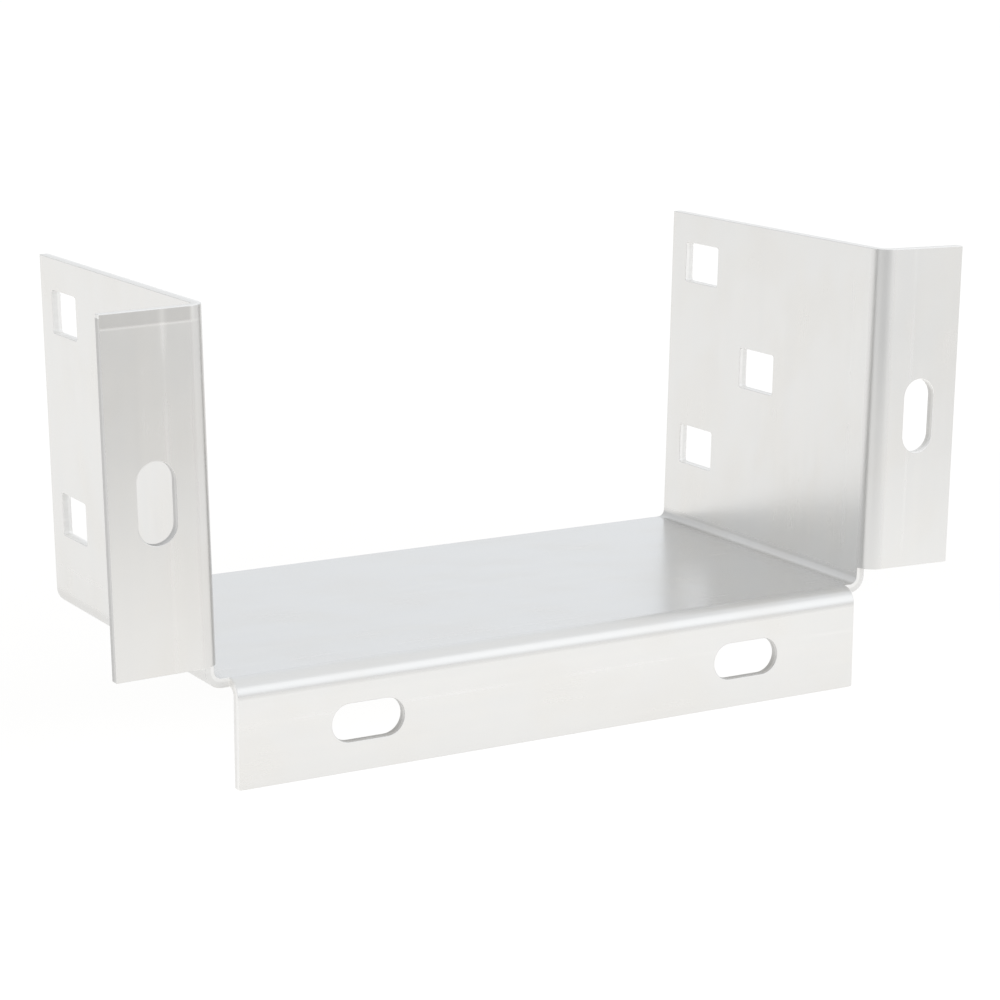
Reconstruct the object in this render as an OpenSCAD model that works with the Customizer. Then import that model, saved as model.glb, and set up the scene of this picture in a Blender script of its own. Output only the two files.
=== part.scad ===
// Flanged end connector for a cable tray, folded from one sheet
// X runs across the tray, Y into it from the mounting face, Z up
// The origin is midway between the front flange's slots, on the mounting face

/* [Sheet] */
// Thickness of the sheet
sheet_t = 2.5; // [1.5:0.5:4]
// Inside radius of every bend
bend_r = 2; // [1:0.5:4]

/* [Trough] */
// Width over the outsides of the two walls, at the floor
trough_w = 200; // [180:5:400]
// Height of each wall from the underside of the floor, along the wall
wall_h = 96; // [80:1:150]
// Depth from the mounting face to the rear edge
trough_l = 102; // [80:1:200]
// Lean of each wall outwards from square, in degrees
wall_lean = 1.25; // [0:0.05:4]

/* [Side flanges] */
// Reach of each side flange past its wall
side_flange_reach = 25; // [22:0.5:50]
// Height of each side flange's lower end above the tangent of the floor bend
side_flange_gap = 2.5; // [0.5:0.5:6]

/* [Front flange] */
// Drop of the front flange below the underside of the floor
front_flange_drop = 25.5; // [22:0.5:50]
// Distance of each end of the front flange from the tangent of the floor bend
front_flange_gap = 2; // [0.5:0.5:4]
// Depth that the corner cut-outs run behind the tangent of the flange bends
relief_past_bend = 0; // [0:0.5:4]

/* [Flange slots] */
// Width of each slot
slot_w = 10; // [6:0.5:12]
// Length of each slot from end to end
slot_l = 20.5; // [14:0.5:26]
// Distance between the centres of the front flange's slots
front_slot_spacing = 115; // [40:1:125]
// Depth of the front slots' centres below the underside of the floor
front_slot_drop = 12.6; // [12:0.1:14]
// Distance of the side slots' centres out from the walls
side_slot_out = 12.5; // [12:0.1:14]
// Height of the side slots' centres, measured as the walls are
side_slot_h = 49.5; // [30:0.5:60]

/* [Wall holes] */
// Length of each hole along the wall
hole_l = 16.5; // [8:0.5:20]
// Height of each hole
hole_h = 11.5; // [8:0.5:16]
// Radius in the corners of each hole
hole_corner_r = 0.8; // [0.2:0.1:2]
// Distance of the rear holes' centres from the rear edge
rear_hole_inset = 15.8; // [12:0.1:20]
// Distance of the middle hole's centre from the rear edge
middle_hole_inset = 45.5; // [40:0.5:60]
// Height of the lower hole's centre, measured as the walls are
low_hole_h = 26.7; // [18:0.1:28]
// Depth of the upper hole's centre below the wall's top edge
high_hole_drop = 14.3; // [12:0.1:18]

/* [Hidden] */
$fn = 64;

outer_r = bend_r + sheet_t;
flange_bottom = outer_r + side_flange_gap;
front_flange_w = trough_w - 2 * (outer_r + front_flange_gap);
relief_y = outer_r + relief_past_bend;
floor_bend_x = trough_w / 2 - outer_r;
cut_depth = 4 * sheet_t;

high_hole_h = wall_h - high_hole_drop;

// Distance in from the rear edge and height of each hole in a wall
wall_holes = [
    [rear_hole_inset, low_hole_h],
    [middle_hole_inset, (low_hole_h + high_hole_h) / 2],
    [rear_hole_inset, high_hole_h]
];

// Block with its corner at the origin rounded, and its left side leaning out
module rounded_corner(r, x, y, lean) {
    translate([r, 0]) square([x - r, y]);
    translate([r, r]) {
        circle(r);
        rotate(lean) translate([-r, 0]) square([x, y - r]);
    }
}

// Section of the sheet bent once: a leg along X and a leg up Y that leans out
module bent_section(x, y, lean = 0) {
    difference() {
        rounded_corner(outer_r, x, y, lean);
        translate([sheet_t, sheet_t]) rounded_corner(bend_r, x, y, lean);
    }
}

// Turns what is on the right side outwards about its floor bend
module leaning() {
    translate([floor_bend_x, 0, outer_r])
        rotate([0, wall_lean, 0])
            translate([-floor_bend_x, 0, -outer_r])
                children();
}

// Floor and both walls, folded up along the sides
module trough() {
    translate([0, trough_l, 0])
        rotate([90, 0, 0])
            linear_extrude(trough_l - relief_y)
                for (side = [0, 1])
                    mirror([side, 0])
                        translate([-trough_w / 2, 0])
                            bent_section(trough_w - outer_r, wall_h, wall_lean);
}

// Wall of the right side with its flange turned outwards
module side_flange() {
    leaning()
        translate([trough_w / 2 - sheet_t, 0, flange_bottom])
            linear_extrude(wall_h - flange_bottom)
                bent_section(sheet_t + side_flange_reach, 2 * relief_y);
}

// Floor with its front flange turned down
module front_flange() {
    translate([-front_flange_w / 2, 0, sheet_t])
        rotate([90, 0, 90])
            linear_extrude(front_flange_w)
                mirror([0, 1])
                    bent_section(trough_l, sheet_t + front_flange_drop);
}

// Slot along X, cut through along Z
module slot() {
    for (end = [-1, 1])
        translate([end * (slot_l - slot_w) / 2, 0, 0])
            cylinder(d = slot_w, h = cut_depth, center = true);
    cube([slot_l - slot_w, slot_w, cut_depth], center = true);
}

// Rectangular hole with small round corners, cut through along Z
module wall_hole() {
    x = hole_l / 2 - hole_corner_r;
    y = hole_h / 2 - hole_corner_r;
    cube([hole_l, 2 * y, cut_depth], center = true);
    cube([2 * x, hole_h, cut_depth], center = true);
    for (i = [-1, 1], j = [-1, 1])
        translate([i * x, j * y, 0])
            cylinder(r = hole_corner_r, h = cut_depth, center = true);
}

// Holes and slot of the right side
module side_cuts() {
    leaning() {
        for (hole = wall_holes)
            translate([(trough_w - sheet_t) / 2, trough_l - hole[0], hole[1]])
                rotate([90, 0, 90])
                    wall_hole();
        translate([trough_w / 2 + side_slot_out, sheet_t / 2, side_slot_h])
            rotate([90, 90, 0])
                slot();
    }
}

// Slots of the front flange
module front_cuts() {
    for (side = [-1, 1])
        translate([side * front_slot_spacing / 2, sheet_t / 2, -front_slot_drop])
            rotate([90, 0, 0])
                slot();
}

module connector() {
    color("gainsboro")
        translate([0, 0, front_slot_drop])
            difference() {
                union() {
                    trough();
                    front_flange();
                    side_flange();
                    mirror([1, 0, 0]) side_flange();
                }
                front_cuts();
                side_cuts();
                mirror([1, 0, 0]) side_cuts();
            }
}

connector();
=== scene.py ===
import math
import bpy
import bmesh
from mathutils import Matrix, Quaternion, Vector
from mathutils.geometry import delaunay_2d_cdt


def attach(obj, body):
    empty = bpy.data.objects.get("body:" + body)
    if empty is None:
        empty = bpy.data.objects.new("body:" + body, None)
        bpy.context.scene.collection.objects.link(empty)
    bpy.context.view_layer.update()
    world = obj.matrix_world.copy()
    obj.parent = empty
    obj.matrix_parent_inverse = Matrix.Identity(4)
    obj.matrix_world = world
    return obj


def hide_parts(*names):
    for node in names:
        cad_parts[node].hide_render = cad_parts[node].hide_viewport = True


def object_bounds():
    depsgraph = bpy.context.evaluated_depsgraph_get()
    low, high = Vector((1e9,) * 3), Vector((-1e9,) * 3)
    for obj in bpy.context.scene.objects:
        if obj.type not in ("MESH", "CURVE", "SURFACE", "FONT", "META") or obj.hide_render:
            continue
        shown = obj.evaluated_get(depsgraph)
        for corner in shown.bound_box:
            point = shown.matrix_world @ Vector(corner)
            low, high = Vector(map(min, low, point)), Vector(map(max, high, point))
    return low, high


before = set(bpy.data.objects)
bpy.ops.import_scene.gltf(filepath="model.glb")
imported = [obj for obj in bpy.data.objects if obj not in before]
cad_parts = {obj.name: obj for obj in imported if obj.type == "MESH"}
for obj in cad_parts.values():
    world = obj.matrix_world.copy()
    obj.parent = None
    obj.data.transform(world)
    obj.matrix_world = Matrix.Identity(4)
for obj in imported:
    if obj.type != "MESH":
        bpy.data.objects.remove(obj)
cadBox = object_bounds()
scene = bpy.context.scene
millimetre = 0.001
samePoint = 0.001                # points nearer than this, in millimetres, are one

# The folded sheet, in millimetres. Heights are measured from the underside of the trough's floor,
# before the walls lean.
sheet = {
    "thickness": 2.5,
    "bendRadius": 2.0,           # inside every bend
    "neutralLine": 0.42,         # share of the thickness that keeps its length in a bend
    "troughWidth": 200.0,
    "wallHeight": 96.0,
    "depth": 102.0,
    "wallLean": 1.25,            # degrees outwards
    "sideFlangeReach": 25.0,
    "sideFlangeGap": 2.5,        # from the floor bend's tangent up to the flange
    "frontFlangeDrop": 25.5,
    "frontFlangeGap": 2.0,       # from the floor bend's tangent in to the flange's end
    "reliefPastBend": 0.0,       # how far the corner cut-outs run behind the flange bends
    "cutEdgeRound": 0.22,        # rounding of the sheared and punched edges
    "roundSteps": 3,
    "roundFrom": 50,             # degrees that an edge has to turn to be rounded
    "bendSteps": 14,
}

# Slots in the flanges and holes in the walls, in millimetres
cuts = {
    "slotWidth": 10.0,
    "slotLength": 20.5,
    "frontSlotSpacing": 115.0,
    "frontSlotDrop": 12.6,
    "sideSlotOut": 12.5,
    "sideSlotHeight": 49.5,
    "holeLength": 16.5,
    "holeHeight": 11.5,
    "holeCornerRadius": 0.8,
    "rearHoleInset": 15.8,
    "middleHoleInset": 45.5,
    "lowHoleHeight": 26.7,
    "highHoleDrop": 14.3,
    "slotEndSteps": 10,
    "cornerSteps": 5,
}


def bendAllowance(angle):
    return (sheet["bendRadius"] + sheet["neutralLine"] * sheet["thickness"]) * math.radians(angle)


outerRadius = sheet["bendRadius"] + sheet["thickness"]
wallAngle = 90 - sheet["wallLean"]
wallLine = sheet["troughWidth"] / 2 - outerRadius          # where the floor bend starts
flangeLine = outerRadius                                   # where the flange bends start
wallStart = wallLine + bendAllowance(wallAngle)            # where the flat wall starts
flangeStart = flangeLine - bendAllowance(90)               # where the flat flanges start


def wallX(height):
    return wallStart + height - outerRadius


def flangeY(reach):
    return flangeStart - (reach - sheet["bendRadius"])


def withoutRepeats(points):
    # Leaves out each corner of a loop that falls on the one before
    kept = []
    for point in points:
        if not kept or math.dist(point, kept[-1]) > samePoint:
            kept.append(point)
    return kept if math.dist(kept[0], kept[-1]) > samePoint else kept[:-1]


def roundedLoop(x, y, length, width, radius, steps):
    # Points round a slot or hole with its centre at x, y; length runs along X
    points = []
    for turn, (sideX, sideY) in enumerate([(1, 1), (-1, 1), (-1, -1), (1, -1)]):
        for i in range(steps + 1):
            angle = math.radians(90 * (turn + i / steps))
            points.append((x + sideX * (length / 2 - radius) + radius * math.cos(angle),
                           y + sideY * (width / 2 - radius) + radius * math.sin(angle)))
    return withoutRepeats(points)


def slotAt(x, y):
    width = cuts["slotWidth"]
    return roundedLoop(x, y, cuts["slotLength"], width, width / 2, cuts["slotEndSteps"])


def wallHole(height, inset):
    return roundedLoop(wallX(height), sheet["depth"] - inset, cuts["holeHeight"], cuts["holeLength"],
                       cuts["holeCornerRadius"], cuts["cornerSteps"])


def mirrored(points):
    return [(-x, y) for x, y in reversed(points)]


def sheetPanels():
    # Flat parts of the sheet, each an outline and its holes, counterclockwise seen from above
    depth = sheet["depth"]
    reliefY = flangeLine + sheet["reliefPastBend"]
    endX = wallLine - sheet["frontFlangeGap"]
    lowX = wallX(outerRadius + sheet["sideFlangeGap"])
    topX = wallX(sheet["wallHeight"])
    sideY = flangeY(sheet["sideFlangeReach"])
    frontY = flangeY(sheet["frontFlangeDrop"])

    frontSlot = slotAt(cuts["frontSlotSpacing"] / 2, flangeY(cuts["frontSlotDrop"]))
    sideSlot = slotAt(wallX(cuts["sideSlotHeight"]), flangeY(cuts["sideSlotOut"]))
    lowHole = cuts["lowHoleHeight"]
    highHole = sheet["wallHeight"] - cuts["highHoleDrop"]
    wallHoles = [wallHole(lowHole, cuts["rearHoleInset"]),
                 wallHole((lowHole + highHole) / 2, cuts["middleHoleInset"]),
                 wallHole(highHole, cuts["rearHoleInset"])]

    floor = [(-wallLine, reliefY), (-endX, reliefY), (-endX, flangeLine), (endX, flangeLine),
             (endX, reliefY), (wallLine, reliefY), (wallLine, depth), (-wallLine, depth)]
    frontFlange = [(-endX, frontY), (endX, frontY), (endX, flangeStart), (-endX, flangeStart)]
    wall = [(wallStart, reliefY), (lowX, reliefY), (lowX, flangeLine), (topX, flangeLine),
            (topX, depth), (wallStart, depth)]
    sideFlange = [(lowX, sideY), (topX, sideY), (topX, flangeStart), (lowX, flangeStart)]
    panels = [(floor, []), (frontFlange, [frontSlot, mirrored(frontSlot)])]
    for outline, holes in [(wall, wallHoles), (sideFlange, [sideSlot])]:
        panels += [(outline, holes), (mirrored(outline), [mirrored(hole) for hole in holes])]

    # Strips that curve, each from corner to corner and the axis along which it curves
    bends = [((wallLine, reliefY), (wallStart, depth), 0), ((-wallStart, reliefY), (-wallLine, depth), 0),
             ((-endX, flangeStart), (endX, flangeLine), 1),
             ((lowX, flangeStart), (topX, flangeLine), 1), ((-topX, flangeStart), (-lowX, flangeLine), 1)]
    return panels, bends


def makeBlank():
    panels, bends = sheetPanels()
    bm = bmesh.new()

    def addFace(corners):
        face = bm.faces.new([bm.verts.new((x * millimetre, y * millimetre, 0)) for x, y in corners])
        face.normal_update()
        if face.normal.z < 0:
            face.normal_flip()

    wholeFaces = 5                                         # as few faces as will do, with the holes left open
    for outline, holes in panels:
        points, loops = [], []
        for loop in [withoutRepeats(outline)] + holes:
            loops.append(range(len(points), len(points) + len(loop)))
            points += [Vector(point) for point in loop]
        filled = delaunay_2d_cdt(points, [], loops, wholeFaces, samePoint)
        for corners in filled[2]:
            addFace([filled[0][i] for i in corners])
    for low, high, axis in bends:
        steps = sheet["bendSteps"]
        for i in range(steps):
            near, far = list(low), list(high)
            near[axis] = low[axis] + (high[axis] - low[axis]) * i / steps
            far[axis] = low[axis] + (high[axis] - low[axis]) * (i + 1) / steps
            addFace([(near[0], near[1]), (far[0], near[1]), (far[0], far[1]), (near[0], far[1])])
    bmesh.ops.remove_doubles(bm, verts=bm.verts, dist=samePoint * millimetre)
    mesh = bpy.data.meshes.new("blank")
    bm.to_mesh(mesh)
    bm.free()
    print("blank cut:", round(2 * wallX(sheet["wallHeight"]), 1), "by",
          round(sheet["depth"] - flangeY(sheet["frontFlangeDrop"]), 1), "mm,", len(mesh.polygons), "faces")
    return mesh


# Short ways to add nodes, for the fold and for the materials
def addNode(tree, kind, inputs=(), **settings):
    node = tree.nodes.new(kind)
    for name, value in settings.items():
        setattr(node, name, value)
    for socket, value in dict(inputs).items():
        if isinstance(value, bpy.types.NodeSocket):
            tree.links.new(value, node.inputs[socket])
        else:
            node.inputs[socket].default_value = value
    return node


def calculate(tree, operation, *values):
    return addNode(tree, "ShaderNodeMath", enumerate(values), operation=operation).outputs[0]


def product(tree, first, *others):
    for other in others:
        first = calculate(tree, "MULTIPLY", first, other)
    return first


def scaled(tree, vector, factor):
    return addNode(tree, "ShaderNodeVectorMath", {0: vector, "Scale": factor}, operation="SCALE").outputs[0]


def splitUp(tree, vector):
    return addNode(tree, "ShaderNodeSeparateXYZ", {0: vector}).outputs


def foldAlong(tree, position, distance, centre, axis, angle, radius):
    # Rolls what lies past a bend line round the bend's centre; distance is how far past the line it lies
    length = product(tree, radius, calculate(tree, "ABSOLUTE", angle))
    rolled = calculate(tree, "MINIMUM", calculate(tree, "MAXIMUM", distance, 0.0), length)
    turned = calculate(tree, "DIVIDE", product(tree, rolled, calculate(tree, "SIGN", angle)), radius)
    back = (0, 1, 0) if axis == "X" else (-1, 0, 0)
    moved = addNode(tree, "ShaderNodeVectorMath", {0: position, 1: scaled(tree, back, rolled)},
                    operation="ADD").outputs[0]
    return addNode(tree, "ShaderNodeVectorRotate", {"Vector": moved, "Center": centre, "Angle": turned},
                   rotation_type=axis + "_AXIS").outputs[0]


def makeFoldTree():
    tree = bpy.data.node_groups.new("foldSheet", "GeometryNodeTree")
    tree.interface.new_socket("Geometry", in_out="INPUT", socket_type="NodeSocketGeometry")
    for name in ["Thickness", "Bend Radius", "Neutral Line", "Wall Line", "Wall Angle",
                 "Flange Line", "Flange Angle", "Rise"]:
        tree.interface.new_socket(name, in_out="INPUT", socket_type="NodeSocketFloat")
    tree.interface.new_socket("Material", in_out="INPUT", socket_type="NodeSocketMaterial")
    tree.interface.new_socket("Geometry", in_out="OUTPUT", socket_type="NodeSocketGeometry")
    given = tree.nodes.new("NodeGroupInput").outputs
    position = addNode(tree, "GeometryNodeInputPosition").outputs[0]
    x, y, z = splitUp(tree, position)

    # Where each point lay on the flat sheet, and which faces were sheared or punched
    flatFrom = 0.8                                         # a face whose normal is more upright is flat
    place = addNode(tree, "GeometryNodeStoreNamedAttribute",
                    {"Geometry": given["Geometry"], "Name": "blank", "Value": position},
                    data_type="FLOAT_VECTOR", domain="POINT").outputs[0]
    upright = splitUp(tree, addNode(tree, "GeometryNodeInputNormal").outputs[0])[2]
    sheared = calculate(tree, "LESS_THAN", calculate(tree, "ABSOLUTE", upright), flatFrom)
    marked = addNode(tree, "GeometryNodeStoreNamedAttribute",
                     {"Geometry": place, "Name": "cutEdge", "Value": sheared},
                     data_type="FLOAT", domain="FACE").outputs[0]

    # Both kinds of bend roll on the sheet's neutral line
    radius = calculate(tree, "MULTIPLY_ADD", given["Neutral Line"], given["Thickness"], given["Bend Radius"])
    below = product(tree, given["Bend Radius"], -1.0)
    above = calculate(tree, "ADD", given["Bend Radius"], given["Thickness"])
    flangeCentre = addNode(tree, "ShaderNodeCombineXYZ", {1: given["Flange Line"], 2: below}).outputs[0]
    wallCentre = addNode(tree, "ShaderNodeCombineXYZ", {0: given["Wall Line"], 2: above}).outputs[0]
    outward = calculate(tree, "ABSOLUTE", x)
    oneSide = addNode(tree, "ShaderNodeCombineXYZ", {0: outward, 1: y, 2: z}).outputs[0]
    pastFlangeLine = calculate(tree, "SUBTRACT", given["Flange Line"], y)
    pastWallLine = calculate(tree, "SUBTRACT", outward, given["Wall Line"])
    flanged = foldAlong(tree, oneSide, pastFlangeLine, flangeCentre, "X", given["Flange Angle"], radius)
    walled = foldAlong(tree, flanged, pastWallLine, wallCentre, "Y",
                       product(tree, given["Wall Angle"], -1.0), radius)
    foldedX, foldedY, foldedZ = splitUp(tree, walled)
    folded = addNode(tree, "ShaderNodeCombineXYZ", {
        0: product(tree, foldedX, calculate(tree, "SIGN", x)), 1: foldedY,
        2: calculate(tree, "ADD", foldedZ, given["Rise"])}).outputs[0]
    shaped = addNode(tree, "GeometryNodeSetPosition", {"Geometry": marked, "Position": folded}).outputs[0]
    realized = addNode(tree, "GeometryNodeRealizeInstances", {"Geometry": shaped}).outputs[0]
    painted = addNode(tree, "GeometryNodeSetMaterial",
                      {"Geometry": realized, "Material": given["Material"]}).outputs[0]
    addNode(tree, "NodeGroupOutput", {"Geometry": painted})
    return tree


def setInputs(modifier, values):
    sockets = {item.name: item.identifier for item in modifier.node_group.interface.items_tree
               if item.in_out == "INPUT"}
    for name, value in values.items():
        modifier[sockets[name]] = value


def foldSheet(material):
    flat = bpy.data.objects.new("flatSheet", makeBlank())
    scene.collection.objects.link(flat)
    gauge = flat.modifiers.new("gauge", "SOLIDIFY")
    gauge.thickness = sheet["thickness"] * millimetre
    gauge.offset = 1
    rounding = flat.modifiers.new("rounding", "BEVEL")
    rounding.width = sheet["cutEdgeRound"] * millimetre
    rounding.segments = sheet["roundSteps"]
    rounding.limit_method = "ANGLE"
    rounding.angle_limit = math.radians(sheet["roundFrom"])
    rounding.use_clamp_overlap = False
    fold = flat.modifiers.new("fold", "NODES")
    fold.node_group = makeFoldTree()
    setInputs(fold, {
        "Thickness": sheet["thickness"] * millimetre, "Bend Radius": sheet["bendRadius"] * millimetre,
        "Neutral Line": sheet["neutralLine"], "Wall Line": wallLine * millimetre,
        "Wall Angle": math.radians(wallAngle), "Flange Line": flangeLine * millimetre,
        "Flange Angle": math.radians(90), "Rise": cuts["frontSlotDrop"] * millimetre, "Material": material})
    smoothing = flat.modifiers.new("smoothing", "WEIGHTED_NORMAL")
    smoothing.weight = 100                                 # the large flat faces stay flat
    for face in flat.data.polygons:
        face.use_smooth = True
    graph = bpy.context.evaluated_depsgraph_get()
    mesh = bpy.data.meshes.new_from_object(flat.evaluated_get(graph), preserve_all_data_layers=True,
                                           depsgraph=graph)
    mesh.name = "foldedSheet"
    piece = bpy.data.objects.new("foldedSheet", mesh)
    scene.collection.objects.link(piece)
    bpy.data.objects.remove(flat)
    print("sheet folded:", len(mesh.polygons), "faces")
    return piece


def mapValue(tree, value, low, high, toLow=0.0, toHigh=1.0):
    return addNode(tree, "ShaderNodeMapRange", {
        "Value": value, "From Min": low, "From Max": high, "To Min": toLow, "To Max": toHigh},
        interpolation_type="SMOOTHSTEP").outputs[0]


def blend(tree, kind, share, first, second):
    # A Mix node's inputs and output for numbers and for colours
    low, high, result = {"FLOAT": (2, 3, 0), "RGBA": (6, 7, 2)}[kind]
    inputs = {0: share, low: first, high: second}
    return addNode(tree, "ShaderNodeMix", inputs, data_type=kind).outputs[result]


def noiseOn(tree, place, sizes, detail=2.0, turn=0.0, shift=0.0):
    # Noise between 0 and 1 whose features have the given sizes along X, Y and Z
    moved = addNode(tree, "ShaderNodeMapping", {
        "Vector": place, "Location": (shift, shift, 0), "Rotation": (0, 0, math.radians(turn))}).outputs[0]
    spread = addNode(tree, "ShaderNodeVectorMath", {0: moved, 1: [1 / size for size in sizes]},
                     operation="MULTIPLY").outputs[0]
    return addNode(tree, "ShaderNodeTexNoise", {"Vector": spread, "Scale": 1.0, "Detail": detail}).outputs[0]


def lineAt(tree, distance, place, width):
    # 1 on the line at this distance, falling to 0 half a width away on either side
    off = calculate(tree, "ABSOLUTE", calculate(tree, "SUBTRACT", distance, place))
    return mapValue(tree, off, width / 2, 0.0)


def placesOnSheet(tree):
    # Where a point lies on the flat sheet, in millimetres, and how far from the middles of the bends
    flat = addNode(tree, "ShaderNodeAttribute", attribute_name="blank").outputs["Vector"]
    place = scaled(tree, flat, 1 / millimetre)
    x, y, z = splitUp(tree, place)
    out = calculate(tree, "ABSOLUTE", x)
    return {
        "place": place, "x": x, "y": y, "z": z, "out": out,
        "top": calculate(tree, "GREATER_THAN", z, sheet["thickness"] / 2),
        "wallBend": calculate(tree, "ABSOLUTE", calculate(tree, "SUBTRACT", out, (wallLine + wallStart) / 2)),
        "flangeBend": calculate(tree, "ABSOLUTE",
                                calculate(tree, "SUBTRACT", y, (flangeLine + flangeStart) / 2)),
    }


# Mill finish aluminium. Lengths here and below are in millimetres on the flat sheet, which was rolled
# along X.
finish = {
    "cleanColour": (0.800, 0.802, 0.798, 1),
    "filmAndShadeColour": (0.790, 0.777, 0.752, 1),   # where a faint film of handling and oil has dried, and painted shade on the left flange
    "grain": (60, 0.3),                          # length and width of the finest roll lines
    "streaks": (150, 3.5),
    "blotches": 9,
    "film": (28, 17),
    "filmTurn": 20,                              # degrees away from the way it was rolled
    "filmLevels": (0.42, 0.66),                  # of its noise, where the film starts and is whole
    "waves": 45,                                 # slight unevenness of the whole sheet
    "through": 50,                               # size of the patterns through the sheet
}


def millMarks(tree, at):
    # What the rolling mill and handling leave
    film = noiseOn(tree, at["place"], (*finish["film"], finish["through"]), detail=4,
                   turn=finish["filmTurn"], shift=3)
    return {
        "grain": noiseOn(tree, at["place"], (*finish["grain"], finish["through"]), detail=3, shift=0.4),
        "streaks": noiseOn(tree, at["place"], (*finish["streaks"], finish["through"]), detail=2, shift=31),
        "blotches": noiseOn(tree, at["place"], (finish["blotches"],) * 3, detail=3, shift=7),
        "film": mapValue(tree, film, *finish["filmLevels"]),
        "waves": noiseOn(tree, at["place"], (finish["waves"],) * 3, detail=1, shift=5),
    }


# What the press leaves at the bends
press = {
    "dieMark": 9.6,                              # faint line this far from the middle of a bend, outside it
    "dieMarkWidth": 1.6,
    "patches": (14, 14),                         # in which the line is strong or weak
    "patchLevels": (0.35, 0.62, 0.15, 1.0),      # of their noise, and how strong the line is there
    "skinFade": 1.0,                             # the coarser skin over a bend ends over twice this length
    "skinGrain": (0.9, 0.5),
    "punchFade": (1.5, -0.5),                    # past the end of a floor bend, which the punch dulls inside and painted shade darkens
    "rearShadeY": (60, 88),                       # Y from where to where the painted shade gets darker still
    "crease": 0.2,                               # painted shade: a dark line just before the front flange leaves its bend
    "creaseWidth": 2.0,
}


def bendMarks(tree, at):
    underWalls = product(tree, calculate(tree, "SUBTRACT", 1.0, at["top"]),
                         calculate(tree, "GREATER_THAN", at["y"], flangeLine))

    def outsideBends(atFlange, atWall):
        return calculate(tree, "MAXIMUM", product(tree, at["top"], atFlange),
                         product(tree, underWalls, atWall))

    halfBend = (wallStart - wallLine) / 2
    fade = press["skinFade"]
    lines = outsideBends(*[lineAt(tree, at[bend], press["dieMark"], press["dieMarkWidth"])
                           for bend in ["flangeBend", "wallBend"]])
    patches = noiseOn(tree, at["place"], (*press["patches"], finish["through"]), detail=2, shift=71)
    bent = outsideBends(*[mapValue(tree, at[bend], halfBend + fade, halfBend - fade)
                          for bend in ["flangeBend", "wallBend"]])
    grain = noiseOn(tree, at["place"], (*press["skinGrain"], finish["through"]), detail=2, shift=11)
    # Inside the floor bends: rougher from the punch, and darker by painted shade
    squeezedAndShaded = product(tree, at["top"],
                       mapValue(tree, at["wallBend"], *[halfBend + past for past in press["punchFade"]]))
    return {
        "dieMarks": product(tree, lines, mapValue(tree, patches, *press["patchLevels"])),
        "bent": bent,
        # Painted shade on the outside of the bends at the sides
        "sideBendShade": product(tree, bent, mapValue(tree, at["out"], wallLine - fade, wallLine + fade)),
        "skin": product(tree, bent, grain),
        "squeezedAndShaded": squeezedAndShaded,
        # More painted shade towards the rear inside the floor bends
        "rearInnerShade": product(tree, squeezedAndShaded, mapValue(tree, at["y"], *press["rearShadeY"])),
        # Painted shade along the top of the front flange just below its bend
        "frontCreaseShade": product(tree, at["top"], calculate(tree, "LESS_THAN", at["out"], wallLine),
                               lineAt(tree, at["y"], flangeStart + press["crease"], press["creaseWidth"])),
    }


# The left flange has a line scribed across it near its top, with a dull band above it as far as the bend.
# Places along Y are from the end of the bend, and the others are down from the flange's top edge.
# Painted shade darkens the whole left flange, and more towards its top.
leftFlange = {
    "fadeY": (4, -1),                            # where the flange's painted shade and its marks set in
    "scribed": 3.6,
    "scribedWidth": 1.1,
    "bandFade": 0.3,
    "bandFadeY": (0.6, -0.4),
    "bandEndY": 0.3,                             # light line that closes the band
    "bandEndWidth": 1.4,
    "brightDown": (15, 5),                       # where the bend's die mark fades in and is bright
    # painted shade that deepens towards the flange's top
    "topShadeDown": (45, 5),
}


def leftFlangeMarks(tree, at):
    start = mapValue(tree, at["y"], *[flangeStart + y for y in leftFlange["fadeY"]])
    onLeftFlange = product(tree, at["top"], calculate(tree, "LESS_THAN", at["x"], -wallStart), start)
    down = calculate(tree, "ADD", at["x"], wallX(sheet["wallHeight"]))
    inBand = product(tree, onLeftFlange, mapValue(tree, down, leftFlange["scribed"],
                                                  leftFlange["scribed"] - leftFlange["bandFade"]))
    bandStart = mapValue(tree, at["y"], *[flangeStart + y for y in leftFlange["bandFadeY"]])
    bandEnd = lineAt(tree, at["y"], flangeStart + leftFlange["bandEndY"], leftFlange["bandEndWidth"])
    wideDieMark = lineAt(tree, at["flangeBend"], press["dieMark"], 2 * press["dieMarkWidth"])
    return {
        # Over the whole flange: painted shade
        "onLeftFlange": onLeftFlange,
        "scribed": product(tree, onLeftFlange,
                           lineAt(tree, down, leftFlange["scribed"], leftFlange["scribedWidth"])),
        "dull": product(tree, inBand, bandStart),
        "bandEnd": product(tree, inBand, bandEnd),
        "bright": product(tree, onLeftFlange, mapValue(tree, down, *leftFlange["brightDown"]), wideDieMark),
        # Painted shade deepening towards the flange's top
        "topShade": product(tree, onLeftFlange, mapValue(tree, down, *leftFlange["topShadeDown"])),
    }


# Freshly cut metal, torn below and burnished above. The long cuts and slots of the front and left
# flanges are greyer, and so are the cut ends of the floor bends.
cutFace = {
    "colour": (0.95, 0.942, 0.925),
    "break": 0.6,                                # share of the thickness up to where the cut turns smooth
    "breakFade": 0.15,
    "teeth": (0.22, 0.22, 2.4),
    "greyY": 3,                                  # past the end of the flange bends
    "lightEnds": 2,                              # width about each flange's end where the cuts stay light
    "bendEndY": 2,                               # behind the flange bends
    "bendEndFade": 2,
}


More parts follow.
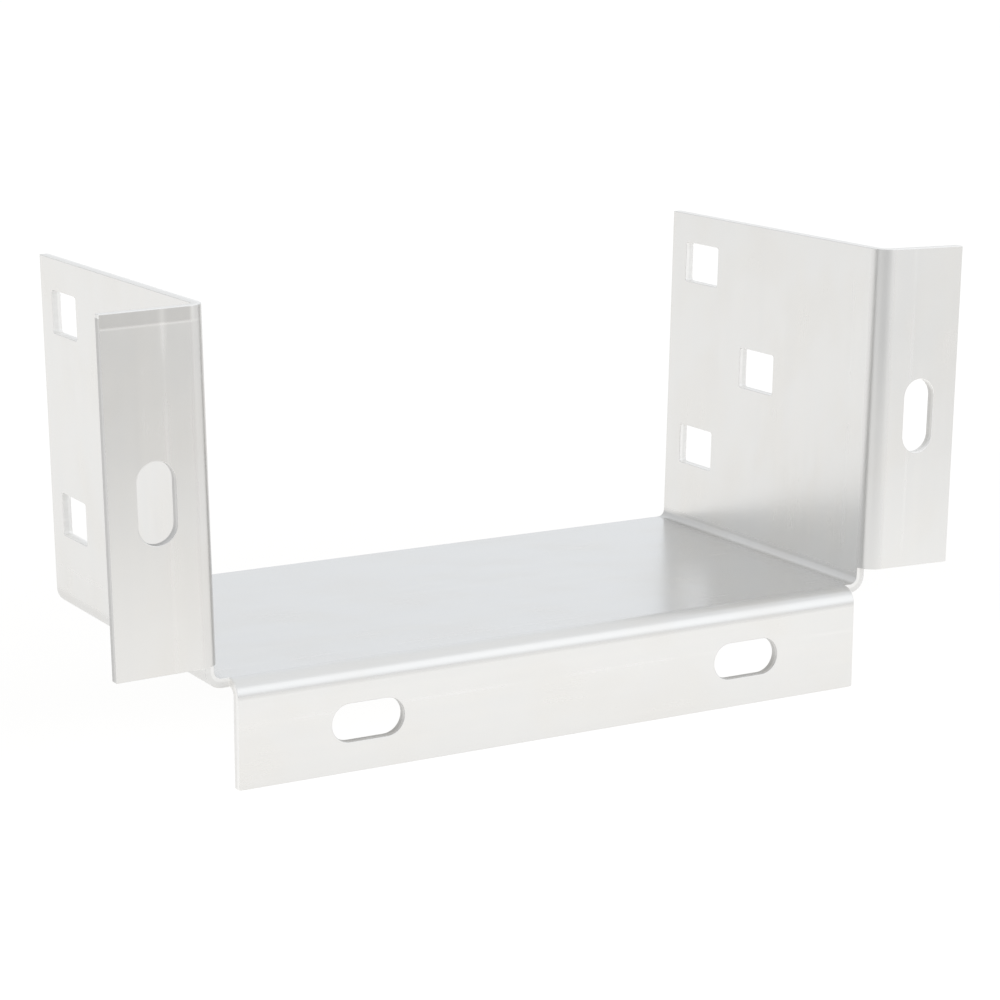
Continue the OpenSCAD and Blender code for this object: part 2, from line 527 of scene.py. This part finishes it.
def cutMarks(tree, at):
    middle = cutFace["break"] * sheet["thickness"]
    torn = mapValue(tree, at["z"], middle + cutFace["breakFade"], middle - cutFace["breakFade"])
    teeth = noiseOn(tree, at["place"], cutFace["teeth"], detail=2)
    flangeEnds = [wallLine - sheet["frontFlangeGap"], wallX(sheet["wallHeight"])]
    nearEnds = calculate(tree, "MAXIMUM", *[lineAt(tree, at["out"], end, 2 * cutFace["lightEnds"])
                                            for end in flangeEnds])
    wallFoot = wallX(outerRadius + sheet["sideFlangeGap"])
    return {
        "torn": torn,
        "teeth": teeth,
        "tornTeeth": product(tree, torn, teeth),
        "greyCut": product(tree, calculate(tree, "LESS_THAN", nearEnds, 0.5),
                           calculate(tree, "LESS_THAN", at["y"], flangeStart - cutFace["greyY"]),
                           calculate(tree, "LESS_THAN", at["x"], wallStart)),
        "bendEnd": product(tree, calculate(tree, "LESS_THAN", at["y"], flangeLine + cutFace["bendEndY"]),
                           mapValue(tree, at["out"], wallLine - cutFace["bendEndFade"], wallLine),
                           calculate(tree, "LESS_THAN", at["out"], wallFoot)),
    }


# What each mark adds to the metal. Relief is in millimetres.
looks = {
    "filmAndShade": {"base": 0.1, "film": 0.35, "blotches": 0.35, "streaks": 0.35, "dull": 0.4,
                "onLeftFlange": 0.3},
    # The shade of the whole left flange and its top, the sides of the bends, the inside of the floor bends
    # and the line below the front bend is painted shade
    "shade": {"base": 0.952, "streaks": 0.045, "blotches": 0.035, "grain": 0.02, "dieMarks": 0.025,
              "scribed": 0.10, "dull": -0.12, "bent": -0.01, "onLeftFlange": -0.05, "topShade": -0.015,
              "squeezedAndShaded": -0.06, "rearInnerShade": -0.08, "frontCreaseShade": -0.11, "bandEnd": 0.08,
              # sideBendShade is painted shade on the outside of the bends at the sides
              "bright": 0.08, "sideBendShade": -0.06},
    "roughness": {"base": 0.19, "blotches": 0.05, "grain": 0.04, "film": 0.02, "streaks": 0.02,
                  "dieMarks": 0.03, "bent": 0.05, "squeezedAndShaded": 0.08, "dull": 0.05},
    "relief": {"base": 0.0, "waves": 0.030, "skin": 0.0015, "scribed": -0.008},
    "cutShade": {"base": 1.0, "tornTeeth": -0.10, "bendEnd": -0.10, "greyCut": -0.26},
    "cutRoughness": {"base": 0.48, "torn": 0.12, "teeth": 0.08},
    "cutRelief": {"base": 0.0, "tornTeeth": 0.005},
}


def addUp(tree, marks, weights):
    total = weights["base"]
    for name, weight in weights.items():
        if name != "base":
            total = calculate(tree, "MULTIPLY_ADD", marks[name], weight, total)
    return total


def makeMetal():
    material = bpy.data.materials.new("millFinishAluminium")
    material.use_nodes = True
    tree = material.node_tree
    shader = tree.nodes["Principled BSDF"]
    shader.inputs["Metallic"].default_value = 1
    at = placesOnSheet(tree)
    marks = {**millMarks(tree, at), **bendMarks(tree, at), **leftFlangeMarks(tree, at), **cutMarks(tree, at)}
    amounts = {name: addUp(tree, marks, weights) for name, weights in looks.items()}

    cut = addNode(tree, "ShaderNodeAttribute", attribute_name="cutEdge").outputs["Fac"]
    skin = blend(tree, "RGBA", amounts["filmAndShade"], finish["cleanColour"], finish["filmAndShadeColour"])
    colour = blend(tree, "RGBA", cut, scaled(tree, skin, amounts["shade"]),
                   scaled(tree, cutFace["colour"], amounts["cutShade"]))
    roughness = blend(tree, "FLOAT", cut, amounts["roughness"], amounts["cutRoughness"])
    relief = blend(tree, "FLOAT", cut, amounts["relief"], amounts["cutRelief"])
    height = product(tree, relief, millimetre)
    bump = addNode(tree, "ShaderNodeBump", {"Height": height, "Distance": 1.0, "Strength": 1.0}).outputs[0]
    tree.links.new(colour, shader.inputs["Base Color"])
    tree.links.new(roughness, shader.inputs["Roughness"])
    tree.links.new(bump, shader.inputs["Normal"])
    print("metal made:", len(tree.nodes), "nodes")
    return material


# A table with painted light: a glowing pool brightest round the object, painted shade towards the left and a
# painted shadow below the camera. Lengths are in metres.
floorLook = {
    "radius": 8,
    "corners": 96,
    "gap": 0.0003,                               # below the object
    "paint": (0.92, 0.92, 0.92, 1),
    "glow": (1.0, 0.997, 0.991, 1),
    "frontY": (0.12, -0.08),                     # where the front's levels take over from the rear's
    "frontLevels": (1.13, 0.92),                 # near the object and away from it
    "frontFall": (0.10, 0.62),                   # from the origin
    "rearLevels": (1.02, 1.06),
    "rearFall": (0.15, 0.50),
    "shadowPlace": (-0.25, -0.72, 0.0),
    "shadowFade": (0.61, 0.26),                    # from that place
    "shadowShare": 0.38,                           # how much darker the painted shadow makes it
    "leftX": (-0.25, -0.55),                     # where the left gets darker by painted shade
    "leftShare": 0.12,                           # by how much
    "unshadowed": 0.9,                           # share of the look that no shadow reaches
}


def makeFloor(low):
    bpy.ops.mesh.primitive_circle_add(vertices=floorLook["corners"], radius=floorLook["radius"],
                                      fill_type="NGON", location=(0, 0, low - floorLook["gap"]))
    floor = bpy.context.object
    floor.name = "floor"
    material = bpy.data.materials.new("paleFloor")
    material.use_nodes = True
    tree = material.node_tree
    tree.nodes.clear()
    output = tree.nodes.new("ShaderNodeOutputMaterial")
    place = addNode(tree, "ShaderNodeTexCoord").outputs["Object"]
    x, y = splitUp(tree, place)[:2]
    distance = addNode(tree, "ShaderNodeVectorMath", {0: place}, operation="LENGTH").outputs["Value"]
    toShadow = addNode(tree, "ShaderNodeVectorMath", {0: place, 1: floorLook["shadowPlace"]},
                     operation="DISTANCE").outputs["Value"]
    # Painted light: the floor glows brightest round the object
    front = mapValue(tree, y, *floorLook["frontY"])
    lit = blend(tree, "FLOAT", front,
                mapValue(tree, distance, *floorLook["rearFall"], *floorLook["rearLevels"]),
                mapValue(tree, distance, *floorLook["frontFall"], *floorLook["frontLevels"]))
    # Painted shadow below the camera, and painted shade towards the left
    dark = mapValue(tree, toShadow, *floorLook["shadowFade"], 0.0, floorLook["shadowShare"])
    left = product(tree, front, mapValue(tree, x, *floorLook["leftX"], 0.0, floorLook["leftShare"]))
    level = product(tree, lit, calculate(tree, "SUBTRACT", 1.0, calculate(tree, "MAXIMUM", dark, left)))
    paint = addNode(tree, "ShaderNodeBsdfDiffuse", {"Color": floorLook["paint"]}).outputs[0]
    light = addNode(tree, "ShaderNodeEmission", {"Color": floorLook["glow"], "Strength": level}).outputs[0]
    seen = addNode(tree, "ShaderNodeLightPath").outputs
    straight = calculate(tree, "MAXIMUM", seen["Is Camera Ray"],
                         calculate(tree, "MAXIMUM", seen["Is Glossy Ray"], seen["Is Transmission Ray"]))
    share = product(tree, straight, floorLook["unshadowed"])
    mixed = addNode(tree, "ShaderNodeMixShader", {0: share, 1: paint, 2: light}).outputs[0]
    tree.links.new(mixed, output.inputs["Surface"])
    floor.data.materials.append(material)
    print("floor laid at", round(low * 1000, 2), "mm")


# A pale room, brighter on the right, and one large soft lamp low in front on the right
roomLight = {
    "brightSide": (0.94, -0.34, 0.0),
    "sideways": (-0.65, 0.25),                   # how much a direction points there, where dim and bright
    "dimLevel": (0.742, 0.754, 0.772, 1),
    "brightLevel": (0.90, 0.923, 0.953, 1),
    "upwards": (0.5, 1.0),                       # how much it points up, at the walls and overhead
    "overheadLevel": (0.93, 0.94, 0.95, 1),
    "lampPower": 0.9,
    "lampSize": 0.95,
    "lampPlace": (0.62, -0.96, 0.50),
}


def makeLight():
    world = bpy.data.worlds.new("paleRoom")
    world.use_nodes = True
    tree = world.node_tree
    direction = addNode(tree, "ShaderNodeTexCoord").outputs["Generated"]
    up = splitUp(tree, direction)[2]
    sideways = addNode(tree, "ShaderNodeVectorMath", {0: direction, 1: roomLight["brightSide"]},
                       operation="DOT_PRODUCT").outputs["Value"]
    walls = blend(tree, "RGBA", mapValue(tree, sideways, *roomLight["sideways"]),
                  roomLight["dimLevel"], roomLight["brightLevel"])
    room = blend(tree, "RGBA", mapValue(tree, up, *roomLight["upwards"]), walls, roomLight["overheadLevel"])
    tree.links.new(room, tree.nodes["Background"].inputs["Color"])
    scene.world = world

    lamp = bpy.data.objects.new("softLamp", bpy.data.lights.new("softLamp", "AREA"))
    scene.collection.objects.link(lamp)
    lamp.data.energy = roomLight["lampPower"]
    lamp.data.size = roomLight["lampSize"]
    lamp.location = roomLight["lampPlace"]
    lamp.rotation_mode = "QUATERNION"
    lamp.rotation_quaternion = Vector(roomLight["lampPlace"]).to_track_quat("Z", "Y")
    print("room lit")


# From the front left and a little above
view = {
    "place": (-375.82, -614.06, 210.07),         # millimetres
    "azimuth": 30.117,                           # degrees from straight ahead towards the right
    "depression": 12.52,
    "roll": 0.169,
    "focalLength": 103.25,
    "sensorWidth": 36,
    "nearest": 0.05,                             # metres
    "farthest": 20,
}


def makeCamera():
    camera = bpy.data.objects.new("camera", bpy.data.cameras.new("camera"))
    scene.collection.objects.link(camera)
    camera.data.lens = view["focalLength"]
    camera.data.sensor_width = view["sensorWidth"]
    camera.data.clip_start = view["nearest"]
    camera.data.clip_end = view["farthest"]
    camera.location = Vector(view["place"]) * millimetre
    camera.rotation_mode = "QUATERNION"
    camera.rotation_quaternion = (Quaternion((0, 0, 1), -math.radians(view["azimuth"]))
                                  @ Quaternion((1, 0, 0), math.radians(90 - view["depression"]))
                                  @ Quaternion((0, 0, 1), math.radians(view["roll"])))
    scene.camera = camera
    print("camera set")


connector = foldSheet(makeMetal())
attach(connector, "root")
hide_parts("connector")
makeFloor(cadBox[0].z)
makeLight()
makeCamera()
scene.view_settings.view_transform = "Standard"
